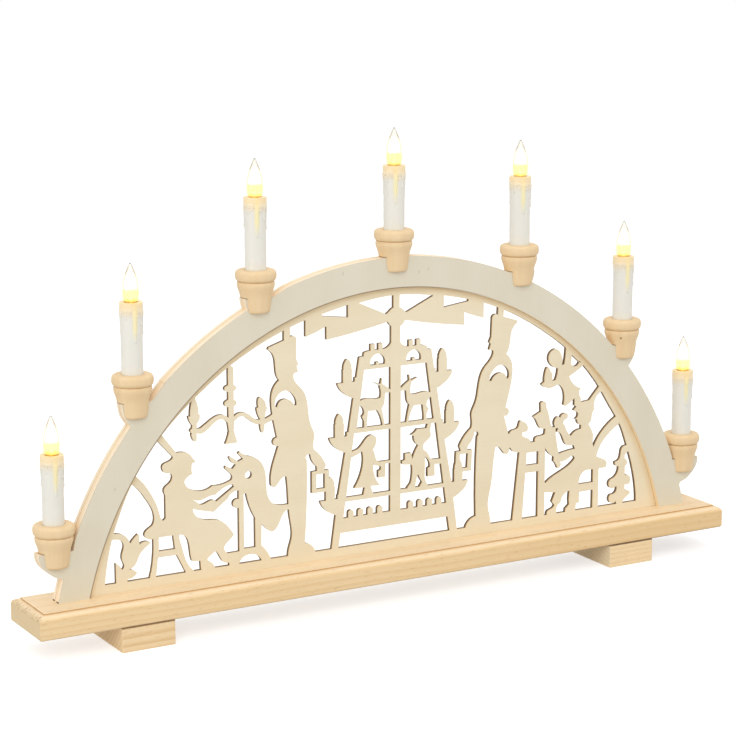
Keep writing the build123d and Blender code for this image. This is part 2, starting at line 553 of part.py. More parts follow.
def cup(index):
    """A turned cup with a bore for the candle and a slot that straddles the arch."""
    x, seat_z = cup_place(index)
    groove_z = seat_z + cup_seat_drop
    bore = sleeve_radius + sleeve_clearance
    outline = [
        (wire_hole_radius, -cup_body_height),
        *[(cup_rim_radius * out, cup_body_height * (up - 1)) for out, up in cup_body_shares],
        *[(cup_rim_radius * out, cup_rim_height * up) for out, up in cup_rim_shares],
        (bore + cup_mouth_chamfer, cup_rim_height),
        (bore, cup_rim_height - cup_mouth_chamfer),
        (bore, cup_rim_height - cup_bore_depth),
        (wire_hole_radius, cup_rim_height - cup_bore_depth),
    ]
    solid = turned(outline, x, groove_z)
    slot_depth = cup_body_height - cup_seat_drop
    slot_width = arch_thickness + 2 * straddle_clearance
    slot = Box(4 * cup_rim_radius, slot_width, slot_depth + overrun)
    slot_z = seat_z - (slot_depth + overrun) / 2
    return solid - Pos(x, 0, slot_z) * slot


def lamp_place(index):
    """Axis of one candle and the top of the collar that its lamp is screwed into."""
    x, seat_z = cup_place(index)
    reach = candle_reach * candle_reach_shares[index]
    return (x, seat_z + cup_seat_drop + reach)


def sleeve(index):
    """The white candle sleeve, an open tube that stands in the cup's bore."""
    x, collar_top = lamp_place(index)
    seat_z = cup_place(index)[1]
    foot_z = seat_z + cup_seat_drop + cup_rim_height - cup_bore_depth
    length = collar_top - holder_collar_height - foot_z
    inner = sleeve_radius - sleeve_wall
    outline = [(inner, 0), (sleeve_radius, 0), (sleeve_radius, length), (inner, length)]
    return turned(outline, x, foot_z)


def holder(index):
    """The lamp holder: a collar on the sleeve and a body that hangs inside it."""
    x, collar_top = lamp_place(index)
    body_radius = sleeve_radius - sleeve_wall - holder_clearance
    bore = shell_radius()
    floor = -holder_collar_height - holder_body_length
    outline = [
        (0, floor - contact_height),
        (body_radius, floor - contact_height),
        (body_radius, -holder_collar_height),
        (holder_collar_radius, -holder_collar_height),
        (holder_collar_radius, -holder_clearance),
        (holder_collar_radius - holder_clearance, 0),
        (bore, 0),
        (bore, floor),
        (0, floor),
    ]
    return turned(outline, x, collar_top)


def shell_radius():
    """Outer radius of the brass thread shell, a snug fit in the holder."""
    return thread_radius + thread_clearance + shell_wall


def contact_shell(index):
    """The brass shell that the lamp's cap turns in."""
    x, collar_top = lamp_place(index)
    inner = thread_radius + thread_clearance
    length = cap_length + contact_height
    outline = [(inner, -length), (shell_radius(), -length), (shell_radius(), 0), (inner, 0)]
    return turned(outline, x, collar_top)


def lamp_cap(index):
    """The lamp's screw cap, its thread as a plain cylinder, with the centre contact."""
    x, collar_top = lamp_place(index)
    outline = [
        (0, -cap_length),
        (contact_radius, -cap_length),
        (contact_radius, contact_height - cap_length),
        (thread_radius, 2 * contact_height - cap_length),
        (thread_radius, lamp_gap),
        (0, lamp_gap),
    ]
    return turned(outline, x, collar_top)


def glass_section(wall):
    """Half the section of a lamp's glass from its foot to the tip, a wall's width inside it."""
    to_tip = bulb_length - neck_height
    tip_height = bulb_length - 2 * wall
    side = [(neck_radius * out - wall, neck_height + to_tip * up) for out, up in glass_side_shares]
    return [
        (0, lamp_gap + wall),
        (thread_radius - wall, lamp_gap + wall),
        (neck_radius - wall, neck_height / 3),
        (neck_radius - wall, neck_height),
        *side,
        (tip_radius, tip_height),
        (0, tip_height),
    ]


def lamp_glass(index):
    """The pointed glass of a lamp, a hollow closed shell."""
    x, collar_top = lamp_place(index)
    return turned(glass_section(0), x, collar_top) - turned(glass_section(glass_wall), x, collar_top)


def filament(index):
    """Two leads on a bead, with the filament across their ends."""
    x, collar_top = lamp_place(index)
    foot_z = collar_top + lamp_gap + glass_wall
    lead_top = bulb_length / 2
    solid = Pos(x, 0, foot_z + bead_radius) * Cylinder(bead_radius, 2 * bead_radius)
    for side in (-1, 1):
        lead = Box(lead_width, lead_width, lead_top - bead_radius)
        lead_z = foot_z + (lead_top + bead_radius) / 2
        solid = solid + Pos(x + side * lead_spacing / 2, 0, lead_z) * lead
    wire = Box(lead_spacing + lead_width, lead_width, lead_width)
    return solid + Pos(x, 0, foot_z + lead_top - lead_width / 2) * wire


pieces = {
    "base_board": base_board(),
    "left_foot": foot(left_foot_x),
    "right_foot": foot(right_foot_x),
    "front_ring": ring(front_face_y),
    "fretwork_panel": fretwork_panel(),
    "back_ring": ring(back_ring_y),
}
for index in range(len(cup_x_shares)):
    number = str(index + 1)
    pieces["cup_" + number] = cup(index)
    pieces["candle_sleeve_" + number] = sleeve(index)
    pieces["lamp_holder_" + number] = holder(index)
    pieces["contact_shell_" + number] = contact_shell(index)
    pieces["lamp_cap_" + number] = lamp_cap(index)
    pieces["lamp_glass_" + number] = lamp_glass(index)
    pieces["lamp_filament_" + number] = filament(index)

os.makedirs("parts", exist_ok=True)
for name, piece in pieces.items():
    export_step(piece, "parts/" + name + ".step")
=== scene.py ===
import math
import bpy
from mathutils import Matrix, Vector


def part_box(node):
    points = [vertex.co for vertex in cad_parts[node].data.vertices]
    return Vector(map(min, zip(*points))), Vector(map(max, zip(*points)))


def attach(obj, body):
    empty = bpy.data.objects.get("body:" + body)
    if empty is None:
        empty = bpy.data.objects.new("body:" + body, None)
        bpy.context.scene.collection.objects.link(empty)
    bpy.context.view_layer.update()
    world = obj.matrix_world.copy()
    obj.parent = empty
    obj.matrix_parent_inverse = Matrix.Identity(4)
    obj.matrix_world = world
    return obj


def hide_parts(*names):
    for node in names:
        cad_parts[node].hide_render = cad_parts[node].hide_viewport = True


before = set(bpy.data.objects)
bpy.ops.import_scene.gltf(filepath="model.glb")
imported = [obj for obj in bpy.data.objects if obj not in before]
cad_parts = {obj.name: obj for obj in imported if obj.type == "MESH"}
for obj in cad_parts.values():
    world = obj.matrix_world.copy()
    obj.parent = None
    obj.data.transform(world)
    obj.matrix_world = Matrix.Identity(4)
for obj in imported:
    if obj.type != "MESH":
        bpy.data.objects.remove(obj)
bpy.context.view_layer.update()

scene = bpy.context.scene
scene.view_settings.view_transform = 'Standard'

candleNumbers = [1, 2, 3, 4, 5, 6, 7]
mm = 0.001
black = (0, 0, 0, 1)


class Flow:  # one node's output, so that shader maths reads like plain maths
    def __init__(self, tree, socket=None):
        self.tree = tree
        self.socket = socket

    def node(self, kind, settings=None, inputs=None, output=0):
        made = self.tree.nodes.new(kind)
        for name, value in (settings or {}).items():
            setattr(made, name, value)
        for name, value in (inputs or {}).items():
            if isinstance(value, Flow):
                self.tree.links.new(value.socket, made.inputs[name])
            else:
                made.inputs[name].default_value = value
        if not made.outputs:
            return None
        return Flow(self.tree, made.outputs[output])

    def maths(self, operation, first, second=0.0):
        return self.node('ShaderNodeMath', {'operation': operation}, {0: first, 1: second})

    def __add__(self, other):
        return self.maths('ADD', self, other)

    def __radd__(self, other):
        return self.maths('ADD', other, self)

    def __sub__(self, other):
        return self.maths('SUBTRACT', self, other)

    def __rsub__(self, other):
        return self.maths('SUBTRACT', other, self)

    def __mul__(self, other):
        return self.maths('MULTIPLY', self, other)

    def __rmul__(self, other):
        return self.maths('MULTIPLY', other, self)

    def __truediv__(self, other):
        return self.maths('DIVIDE', self, other)

    def __gt__(self, other):
        return self.maths('GREATER_THAN', self, other)

    def __abs__(self):
        return self.maths('ABSOLUTE', self)

    def fraction(self):
        return self.maths('FRACT', self)

    def root(self):
        return self.maths('SQRT', self)

    def smaller(self, other):
        return self.maths('MINIMUM', self, other)

    def larger(self, other):
        return self.maths('MAXIMUM', self, other)

    def clamped(self):
        return self.smaller(1.0).larger(0.0)

    def centred(self):  # a noise or a ring about its middle value
        return self - 0.5

    def ramped(self, low, high):  # 0 at low, 1 at high, eased between them
        settings = {'interpolation_type': 'SMOOTHSTEP'}
        return self.node('ShaderNodeMapRange', settings, {'Value': self, 'From Min': low, 'From Max': high})

    def near(self, inner, outer):  # 1 closer to zero than inner, 0 beyond outer
        return 1 - abs(self).ramped(inner, outer)

    def colour(self, first, second):  # mixes two colours, this value is the share of the second
        settings = {'data_type': 'RGBA'}
        return self.node('ShaderNodeMix', settings, {0: self, 6: first, 7: second}, output=2)

    def noise(self, scale, detail=2.0, roughness=0.5):
        inputs = {'Vector': self, 'Scale': scale, 'Detail': detail, 'Roughness': roughness}
        return self.node('ShaderNodeTexNoise', {}, inputs)

    def grain(self, stretch, scale, detail=2.0, roughness=0.5):  # noise with its own scale along each axis
        stretched = self.node('ShaderNodeVectorMath', {'operation': 'MULTIPLY'}, {0: self, 1: stretch})
        return stretched.noise(scale, detail, roughness)

    def parts(self):
        made = self.tree.nodes.new('ShaderNodeSeparateXYZ')
        self.tree.links.new(self.socket, made.inputs[0])
        return [Flow(self.tree, output) for output in made.outputs]


def lengthOf(*parts):  # how long a vector with these parts is
    return sum(part * part for part in parts).root()


def shade(red, green, blue):  # a colour read from the picture, 0 to 255, as Blender wants it
    channels = []
    for value in (red, green, blue):
        share = value / 255
        channels.append(share / 12.92 if share <= 0.04045 else ((share + 0.055) / 1.055) ** 2.4)
    return (*channels, 1.0)


def newMaterial(name):
    material = bpy.data.materials.new(name)
    material.use_nodes = True
    tree = material.node_tree
    surface = tree.nodes['Principled BSDF']
    return material, Flow(tree), surface


def plug(surface, name, value):
    if isinstance(value, Flow):
        value.tree.links.new(value.socket, surface.inputs[name])
    else:
        surface.inputs[name].default_value = value


def objectPlace(flow):
    return flow.node('ShaderNodeTexCoord', output='Object')


def faceDirection(flow):
    return flow.node('ShaderNodeNewGeometry', output='Normal')


def raised(flow, height, distance):
    return flow.node('ShaderNodeBump', {}, {'Strength': 1.0, 'Distance': distance, 'Height': height})


# Camera and lights

view = {
    'place': (-0.86708, -1.48207, 0.53765),
    'turn': 29.747,  # degrees to the right
    'tilt': 11.815,  # degrees down
    'lens': 113.1,
    'sensor': 36.0,
}


def makeCamera():
    data = bpy.data.cameras.new('photoCamera')
    data.lens = view['lens']
    data.sensor_width = view['sensor']
    camera = bpy.data.objects.new('photoCamera', data)
    camera.location = view['place']
    camera.rotation_euler = (math.radians(90 - view['tilt']), 0, math.radians(-view['turn']))
    scene.collection.objects.link(camera)
    scene.camera = camera
    print('camera ready')


studio = {
    'skyColour': (1, 1, 1, 1),
    'skyLight': 0.66,
    'lamps': [
        {'name': 'keyLamp', 'place': (-1.3, -1.9, 1.9), 'size': 1.6, 'watts': 25},
        {'name': 'sideLamp', 'place': (-2.4, -0.5, 0.3), 'size': 1.2, 'watts': 11},
        {'name': 'fillLamp', 'place': (1.7, -1.5, 1.2), 'size': 1.8, 'watts': 9},
        {'name': 'topLamp', 'place': (0.1, 0.3, 2.2), 'size': 1.6, 'watts': 10},
    ],
    'lampAim': (0, 0, 0.15),
    'floorSize': 7.0,
    'floorShade': 0.62,
    'floorLift': 0.62,  # light that only the eye gets, so that the floor shows white
}


def seenDirectly(flow):  # 1 for what the camera, a reflection or clear glass shows, 0 for light on the object
    path = flow.tree.nodes.new('ShaderNodeLightPath')
    names = ('Is Camera Ray', 'Is Glossy Ray', 'Is Transmission Ray')
    camera, glossy, transmitted = [Flow(flow.tree, path.outputs[name]) for name in names]
    return camera.larger(glossy).larger(transmitted)


def makeSky():
    world = bpy.data.worlds.new('studioSky')
    world.use_nodes = True
    scene.world = world
    flow = Flow(world.node_tree)
    strength = seenDirectly(flow) * (1 - studio['skyLight']) + studio['skyLight']
    background = world.node_tree.nodes['Background']
    background.inputs['Color'].default_value = studio['skyColour']
    world.node_tree.links.new(strength.socket, background.inputs['Strength'])


def makeLamps():
    for lamp in studio['lamps']:
        data = bpy.data.lights.new(lamp['name'], 'AREA')
        data.size = lamp['size']
        data.energy = lamp['watts']
        made = bpy.data.objects.new(lamp['name'], data)
        made.location = lamp['place']
        aim = Vector(studio['lampAim']) - Vector(lamp['place'])
        made.rotation_euler = aim.to_track_quat('-Z', 'Y').to_euler()
        scene.collection.objects.link(made)


def makeFloor():
    bpy.ops.object.select_all(action='DESELECT')
    bpy.ops.mesh.primitive_plane_add(size=studio['floorSize'], location=(0, 0, 0))
    floor = bpy.context.active_object
    floor.name = 'studioFloor'
    material = bpy.data.materials.new('whiteFloor')
    material.use_nodes = True
    tree = material.node_tree
    tree.nodes.clear()
    flow = Flow(tree)
    level = studio['floorShade']
    matt = flow.node('ShaderNodeBsdfDiffuse', {}, {'Color': (level, level, level, 1)})
    lift = flow.node('ShaderNodeEmission', {}, {'Strength': seenDirectly(flow) * studio['floorLift']})
    both = flow.node('ShaderNodeAddShader', {}, {0: matt, 1: lift})
    flow.node('ShaderNodeOutputMaterial', {}, {'Surface': both})
    floor.data.materials.append(material)
    print('floor, sky and lamps ready')


# Woods. A grain is its stretch along each axis, its scale, its detail and its roughness.
# A pair of numbers is a range: places and heights in metres, turns from 0 (side on) to 1 (facing).

pineLook = {
    'pale': shade(243, 215, 170),
    'deep': shade(226, 187, 128),
    # painted light: the top colour makes faces that look up paler
    'top': shade(251, 232, 202),
    'end': shade(216, 195, 154),
    'dash': shade(196, 150, 92),
    'speck': shade(146, 102, 52),
    # painted shade colour, for the board's low edge and the feet's tops
    'shadeLine': shade(112, 76, 38),
    'grooveLine': shade(184, 136, 80),
    'heart': (0.012, -0.031),  # where the middle of the tree ran, across and up
    'ringWidth': 0.0042,
    'ringRise': (0.25, 0.86),
    'ringFall': (0.88, 1.0),
    'drift': ((1.6, 9.0, 9.0), 3.0),  # the rings' slow bends, and their fine ones
    'wander': 0.007,
    'ripple': ((6.0, 90.0, 90.0), 4.0),
    'rippleDepth': 0.0005,
    'fibres': ((26.0, 700.0, 700.0), 3.0, 3.0, 0.6),
    'patches': ((3.0, 14.0, 14.0), 2.2),
    'deepShare': 0.35,  # of the deep colour, and what rings, fibres and patches add to it
    'ringDepth': 0.62,
    'fibreDepth': 0.5,
    'patchDepth': 0.5,
    'contrast': 0.55,
    'upTurn': (0.3, 0.7),
    'topTurn': (0.4, 0.9),
    'topShare': 0.45,
    'endTurn': (0.35, 0.9),
    'endShare': 0.8,
    'endRings': 0.35,
    'warmPlace': (0.0, 0.26),  # the sides are warmer towards the right end
    'warmEnd': 0.4,
    'dashes': ((150.0, 1100.0, 1100.0), 1.0),  # short dark fibres
    'dashRange': (0.6, 0.7),
    'dashShare': 0.35,
    'grooveDepth': 0.0009,  # the fine step round the board's top
    'grooveShare': 0.75,
    'tears': ((260.0, 760.0, 260.0), 1.0),  # torn fibres under the moulding, on the board's ends
    'tearRange': (0.52, 0.66),
    'tearTurn': (0.15, 0.4),
    'tearHeight': (-0.0068, -0.0045),  # from the board's top
    'tearShare': 0.6,
    'arrisPlace': (0.12, 0.2),  # painted shade on the board's lower edge, towards the right end
    'arrisHeight': 0.0008,
    'arrisShade': 0.65,
    'contactHeight': 0.0006,  # painted shadow line where a foot meets the board
    'contact': 0.0,
    'roughness': 0.55,
    'roughFibres': 0.14,
    'bumpRings': 0.4,
    'bumpFibres': 0.6,
    'bump': 0.00006,
}

# the feet: their pale end colour is painted light, which lifts end faces that sit in the board's shade
blockLook = dict(
    pineLook, heart=(0.05, 0.062), ringWidth=0.0036, deep=shade(220, 176, 116), end=shade(250, 220, 174),
    wander=0.003, contrast=0.9, warmEnd=0.0, arrisShade=0.0, contact=0.75)

# the right foot: a paler copy of the block, with its end faces lifted further as painted light
paleAndLitBlockLook = dict(
    blockLook, heart=(-0.04, 0.07), pale=shade(250, 224, 180), deep=shade(234, 198, 146),
    end=shade(255, 236, 198), contrast=0.6)

cupLook = {
    'pale': shade(236, 210, 168),
    'deep': shade(226, 193, 146),
    'knot': shade(120, 76, 40),
    'seatShadow': shade(110, 74, 38),
    'fibres': ((420.0, 420.0, 22.0), 2.4, 3.0, 0.6),
    'bands': ((120.0, 120.0, 6.0), 1.6, 1.0),
    'deepShare': 0.4,
    'bandDepth': 0.9,
    'fibreDepth': 0.6,
    'knots': {6: (0.2065, -0.0102, 0.1833)},  # a cup's number, and where its pin knot is
    'knotEdge': (0.0005, 0.001),
    'slotDepth': 0.0111,
    'lineRise': 0.0002,  # painted shadow: the dark line where the cup sits on the rings
    'lineEdge': (0.0003, 0.0007),
    'lineWidth': (0.0056, 0.0064),
    'lineShare': 0.7,
    'roughness': 0.5,
    'roughFibres': 0.16,
    'bump': 0.00003,
}

ringLook = {
    'pale': shade(224, 216, 195),
    'deep': shade(215, 205, 181),
    'edge': shade(249, 233, 206),
    'edgeDeep': shade(240, 212, 174),
    'innerEdge': shade(242, 220, 182),
    'glue': shade(138, 98, 54),
    'arris': shade(124, 94, 54),
    'fleck': shade(160, 146, 116),
    'gap': shade(56, 38, 22),
    'fibres': ((620.0, 620.0, 20.0), 2.4, 3.0, 0.6),
    'clouds': ((22.0, 22.0, 5.0), 1.6),
    'cloudMiddle': 0.4,
    'cloudDepth': 1.2,
    'fibreDepth': 0.45,
    'innerShadeEdge': (0.0003, 0.0011),  # painted contact shade round the inner edge, on the left side only
    'innerShadePlace': (0.02, 0.12),
    'innerShadeShare': 0.85,
    'flecks': [(-0.0445, 0.2555), (0.0294, 0.253), (-0.2312, 0.1149), (0.0212, 0.2515)],  # across and up
    'fleckEdge': (0.0003, 0.0013),
    'fleckSquash': 0.6,
    'fleckShare': 0.24,
    'edgeTurn': (0.5, 0.8),
    'plyThickness': 0.00135,  # the layers that show on the cut edge
    'plyRange': (0.55, 0.95),
    'plyDepth': 0.4,
    'edgeFibres': 0.7,
    'gluePlace': 0.0016,  # a broken line of glue behind the middle
    'glueEdge': (0.0001, 0.0005),
    'glueClouds': (0.25, 0.6),
    'glueShare': 0.85,
    'arrisPlace': -0.0055,  # the front arris
    'arrisEdge': (0.0001, 0.0006),
    'arrisShare': 0.7,
    'insideEdge': (0.001, 0.004),
    'panelHalf': 0.0015,  # half the panel's thickness: its seams with the rings, painted with corner shade
    'cornerShadeEdge': (0.0002, 0.0006),
    'cornerShadeShare': 0.5,
    'gapHeight': (0.0006, 0.0011),  # painted shadow in the gap under the left end
    'gapPlace': (-0.2738, -0.2728),
    'roughness': 0.6,
    'roughFibres': 0.12,
    'bump': 0.00002,
}

panelLook = {
    'pale': shade(238, 224, 194),
    'deep': shade(226, 209, 174),
    'burnt': shade(56, 40, 24),
    'burntPale': shade(88, 64, 38),
    'singed': shade(204, 166, 110),
    'edge': shade(248, 222, 184),
    'rim': shade(232, 200, 144),
    'underRing': shade(222, 192, 142),
    'fibres': ((22.0, 620.0, 620.0), 2.4, 3.0, 0.6),
    'clouds': ((5.0, 22.0, 22.0), 1.6),
    'cloudMiddle': 0.4,
    'cloudDepth': 1.3,
    'fibreDepth': 0.5,
    'rimPlace': (-0.007, -0.002),  # from the ring's inner edge: painted shade, a gold band on the panel beside the ring
    'rimShare': 0.25,
    'underPlace': (-0.0014, 0.0),  # the shaded strip beside the ring
    'underShare': 0.5,
    'edgeTurn': (0.5, 0.8),
    'outsideLevel': (0.955, 0.97),  # beyond it lies the arch's outer edge, which isn't burnt
    'scorchAndShade': ((160.0, 160.0, 160.0), 3.0),
    'burntPlace': (-0.0016, 0.0006),  # from the front of the cut inwards
    'roughness': 0.6,
    'roughFibres': 0.12,
    'bump': 0.00002,
}

archSize = {
    'halfWidth': 0.2839,
    'rise': 0.2936,
    'centreDrop': 0.0661,  # the middle of the arch's ellipse, below the board's top
    'ringWidth': 0.0238,
}


def boardTop():
    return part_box('base_board')[1][2]


def archLevel(place, inside=0.0):  # 1 on the arch's outline, or on one that lies this far inside it
    x, y, z = place.parts()
    centreZ = boardTop() - archSize['centreDrop']
    return lengthOf(x / (archSize['halfWidth'] - inside), (z - centreZ) / (archSize['rise'] - inside))


def innerDistance(place):  # metres outside the ring's inner edge
    ring = archSize['ringWidth']
    return (archLevel(place, ring) - 1) * (archSize['rise'] - ring)


def cutEdge(flow, look):  # 1 on a sheet's cut edges, 0 on its faces
    return 1 - abs(faceDirection(flow).parts()[1]).ramped(*look['edgeTurn'])


def growthRings(place, look):  # rings of a tree whose heart runs along X, seen on any cut
    drift = place.grain(*look['drift']).centred() * look['wander']
    ripple = place.grain(*look['ripple']).centred() * look['rippleDepth']
    x, y, z = place.parts()
    across, up = look['heart']
    radius = lengthOf(y - across, z - up) + drift + ripple
    phase = (radius / look['ringWidth']).fraction()
    return phase.ramped(*look['ringRise']) * (1 - phase.ramped(*look['ringFall']))


def veneer(place, look):  # a sheet's fibres, clouds and face colour
    fibres = place.grain(*look['fibres'])
    clouds = place.grain(*look['clouds'])
    share = (clouds - look['cloudMiddle']) * look['cloudDepth'] + fibres.centred() * look['fibreDepth']
    return fibres, clouds, share.clamped().colour(look['pale'], look['deep'])


def plugWood(flow, surface, look, colour, fibres, relief):
    plug(surface, 'Base Color', colour)
    plug(surface, 'Roughness', look['roughness'] + fibres * look['roughFibres'])
    plug(surface, 'Normal', raised(flow, relief, look['bump']))


def pineWood(name, look):
    material, flow, surface = newMaterial(name)
    place = objectPlace(flow)
    x, y, z = place.parts()
    nx, ny, nz = faceDirection(flow).parts()
    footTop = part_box('left_foot')[1][2]
    facingUp = nz.ramped(*look['upTurn'])
    onEnd = abs(nx).ramped(*look['endTurn'])

    rings = growthRings(place, look)
    fibres = place.grain(*look['fibres'])
    patches = place.grain(*look['patches'])
    mottle = rings.centred() * look['ringDepth'] + fibres.centred() * look['fibreDepth']
    mottle = mottle + patches.centred() * look['patchDepth']
    share = look['deepShare'] + mottle * look['contrast']
    body = share.clamped().colour(look['pale'], look['deep'])
    warm = x.ramped(*look['warmPlace']) * (1 - facingUp) * look['warmEnd']
    body = warm.colour(body, look['deep'])
    # painted light: faces that look up are mixed towards a paler colour
    body = (nz.ramped(*look['topTurn']) * look['topShare']).colour(body, look['top'])
    dashes = place.grain(*look['dashes']).ramped(*look['dashRange']) * (1 - onEnd) * look['dashShare']
    body = dashes.colour(body, look['dash'])

    colour = (onEnd * (look['endShare'] - rings * look['endRings'])).colour(body, look['end'])
    grooveWall = (z > boardTop() - look['grooveDepth']) * (1 - facingUp)
    colour = (grooveWall * look['grooveShare']).colour(colour, look['grooveLine'])
    torn = place.grain(*look['tears']).ramped(*look['tearRange'])
    torn = torn * abs(nx).ramped(*look['tearTurn']) * (z - boardTop()).ramped(*look['tearHeight'])
    colour = (torn * look['tearShare']).colour(colour, look['speck'])
    # painted shade: the board's lowest strip towards the right end, and a shadow line at a foot's top
    lowEdgeShade = 1 - (z > footTop + look['arrisHeight'])
    lowEdgeShade = lowEdgeShade * x.ramped(*look['arrisPlace']) * look['arrisShade']
    contact = (z > footTop - look['contactHeight']) * look['contact']
    colour = (lowEdgeShade + contact).smaller(1.0).colour(colour, look['shadeLine'])
    plugWood(flow, surface, look, colour, fibres, rings * look['bumpRings'] + fibres * look['bumpFibres'])
    return material


def turnedWood(number, look):
    material, flow, surface = newMaterial('turnedWood_%d' % number)
    place = objectPlace(flow)
    x, y, z = place.parts()
    fibres = place.grain(*look['fibres'])
    bands = place.grain(*look['bands'])
    share = look['deepShare'] + bands.centred() * look['bandDepth'] + fibres.centred() * look['fibreDepth']
    colour = share.clamped().colour(look['pale'], look['deep'])
    if number in look['knots']:
        knotX, knotY, knotZ = look['knots'][number]
        away = lengthOf(x - knotX, y - knotY, z - knotZ)
        colour = (1 - away.ramped(*look['knotEdge'])).colour(colour, look['knot'])
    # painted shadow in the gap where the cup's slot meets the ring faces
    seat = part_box('cup_%d' % number)[0][2] + look['slotDepth'] + look['lineRise']
    seatShadow = (z - seat).near(*look['lineEdge']) * y.near(*look['lineWidth'])
    colour = (seatShadow * look['lineShare']).colour(colour, look['seatShadow'])
    plugWood(flow, surface, look, colour, fibres, fibres)
    return material


def ringPlywood(name, look):
    material, flow, surface = newMaterial(name)
    place = objectPlace(flow)
    x, y, z = place.parts()
    inward = innerDistance(place)
    onEdge = cutEdge(flow, look)

    fibres, clouds, face = veneer(place, look)
    # painted shade: a dark line round the inner arris, on the left side only
    scorchAndShade = inward.near(*look['innerShadeEdge']) * (1 - x.ramped(*look['innerShadePlace'])) * look['innerShadeShare']
    face = scorchAndShade.colour(face, look['arris'])
    for fleckX, fleckZ in look['flecks']:  # faint marks in the front's veneer
        away = lengthOf(x - fleckX, (z - fleckZ) * look['fleckSquash'])
        fleck = (1 - away.ramped(*look['fleckEdge'])) * (1 - (y > 0)) * look['fleckShare']
        face = fleck.colour(face, look['fleck'])

    ply = (y / look['plyThickness']).fraction().ramped(*look['plyRange'])
    layers = (ply * look['plyDepth'] + fibres.centred() * look['edgeFibres']).clamped()
    edge = layers.colour(look['edge'], look['edgeDeep'])
    glueLine = (y - look['gluePlace']).near(*look['glueEdge']) * clouds.ramped(*look['glueClouds'])
    arris = (y - look['arrisPlace']).near(*look['arrisEdge']) * look['arrisShare']
    edge = (glueLine * look['glueShare']).larger(arris).colour(edge, look['glue'])
    # painted shade: a dark line in the corners where the panel's faces meet the ring's inner edge
    shadeLine = (abs(y) - look['panelHalf']).near(*look['cornerShadeEdge']) * look['cornerShadeShare']
    inside = shadeLine.colour(look['innerEdge'], look['arris'])
    edge = inward.near(*look['insideEdge']).colour(edge, inside)

    colour = onEdge.colour(face, edge)
    # painted shadow: near black in the gap under the ring's left end
    gap = (1 - (z - boardTop()).ramped(*look['gapHeight'])) * (1 - x.ramped(*look['gapPlace']))
    colour = (gap * onEdge).colour(colour, look['gap'])
    plugWood(flow, surface, look, colour, fibres, fibres)
    return material


def birchPanel(name, look):
    material, flow, surface = newMaterial(name)
    place = objectPlace(flow)
    x, y, z = place.parts()
    inward = innerDistance(place)
    fibres, clouds, face = veneer(place, look)
    # painted shade: the panel turns gold towards the ring
    face = (inward.ramped(*look['rimPlace']) * look['rimShare']).colour(face, look['rim'])
    face = (inward.ramped(*look['underPlace']) * look['underShare']).colour(face, look['underRing'])
    burnt = place.grain(*look['scorchAndShade']).colour(look['burnt'], look['burntPale'])
    burnt = y.ramped(*look['burntPlace']).colour(look['singed'], burnt)
    onOutside = archLevel(place).ramped(*look['outsideLevel'])
    colour = cutEdge(flow, look).colour(face, onOutside.colour(burnt, look['edge']))
    plugWood(flow, surface, look, colour, fibres, fibres)
    return material


# Modelling

# A round piece about the upright axis, from pairs of radius and height in mm
def turnPiece(name, profile, sides):
    bpy.ops.object.select_all(action='DESELECT')
    radius, height = profile[0]
    bpy.ops.mesh.primitive_circle_add(vertices=sides, radius=radius * mm, location=(0, 0, height * mm))
    piece = bpy.context.active_object
    piece.name = name
    bpy.ops.object.mode_set(mode='EDIT')
    bpy.ops.mesh.select_all(action='SELECT')
    for nextRadius, nextHeight in profile[1:]:
        rise = (0, 0, (nextHeight - height) * mm)
        bpy.ops.mesh.extrude_region_move(TRANSFORM_OT_translate={'value': rise})
        if nextRadius == 0:
            bpy.ops.mesh.merge(type='CENTER')
        else:
            share = nextRadius / radius
            bpy.ops.transform.resize(value=(share, share, 1), center_override=(0, 0, nextHeight * mm))
        radius, height = nextRadius, nextHeight
    bpy.ops.mesh.select_mode(type='EDGE')
    bpy.ops.mesh.select_all(action='DESELECT')
    bpy.ops.mesh.select_non_manifold()
    if radius == 0:
        bpy.ops.mesh.edge_face_add()
    else:
        bpy.ops.mesh.bridge_edge_loops()
    bpy.ops.mesh.select_all(action='SELECT')
    bpy.ops.mesh.normals_make_consistent(inside=False)
    bpy.ops.object.mode_set(mode='OBJECT')
    settle(piece)
    return piece


def makeActive(piece):
    bpy.ops.object.select_all(action='DESELECT')
    piece.select_set(True)
    bpy.context.view_layer.objects.active = piece


def settle(piece):  # puts the piece's place, turn and size into its mesh
    makeActive(piece)
    bpy.ops.object.transform_apply(location=True, rotation=True, scale=True)


def modified(piece, kind, settings):
    makeActive(piece)
    modifier = piece.modifiers.new(kind.lower(), kind)
    for name, value in settings.items():
        setattr(modifier, name, value)
    bpy.ops.object.modifier_apply(modifier=modifier.name)


def smoothed(piece, angle):
    makeActive(piece)
    bpy.ops.object.shade_smooth_by_angle(angle=math.radians(angle))


def joined(pieces, name):
    bpy.ops.object.select_all(action='DESELECT')
    for piece in pieces:
        piece.select_set(True)
    bpy.context.view_layer.objects.active = pieces[0]
    bpy.ops.object.join()
    whole = bpy.context.active_object
    whole.name = name
    return whole


def copied(pattern, name, x, z, turn=0):
    makeActive(pattern)
    bpy.ops.object.duplicate(linked=False)
    piece = bpy.context.active_object
    piece.name = name
    piece.data.name = name
    piece.location = (x, 0, z)
    piece.rotation_euler = (0, 0, math.radians(turn))
    settle(piece)
    return piece


def candleX(number):
    low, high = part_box('candle_sleeve_%d' % number)
    return (low[0] + high[0]) / 2


def candleTop(number):
    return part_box('lamp_holder_%d' % number)[1][2]


# Cups: height 0 is the groove under the rim

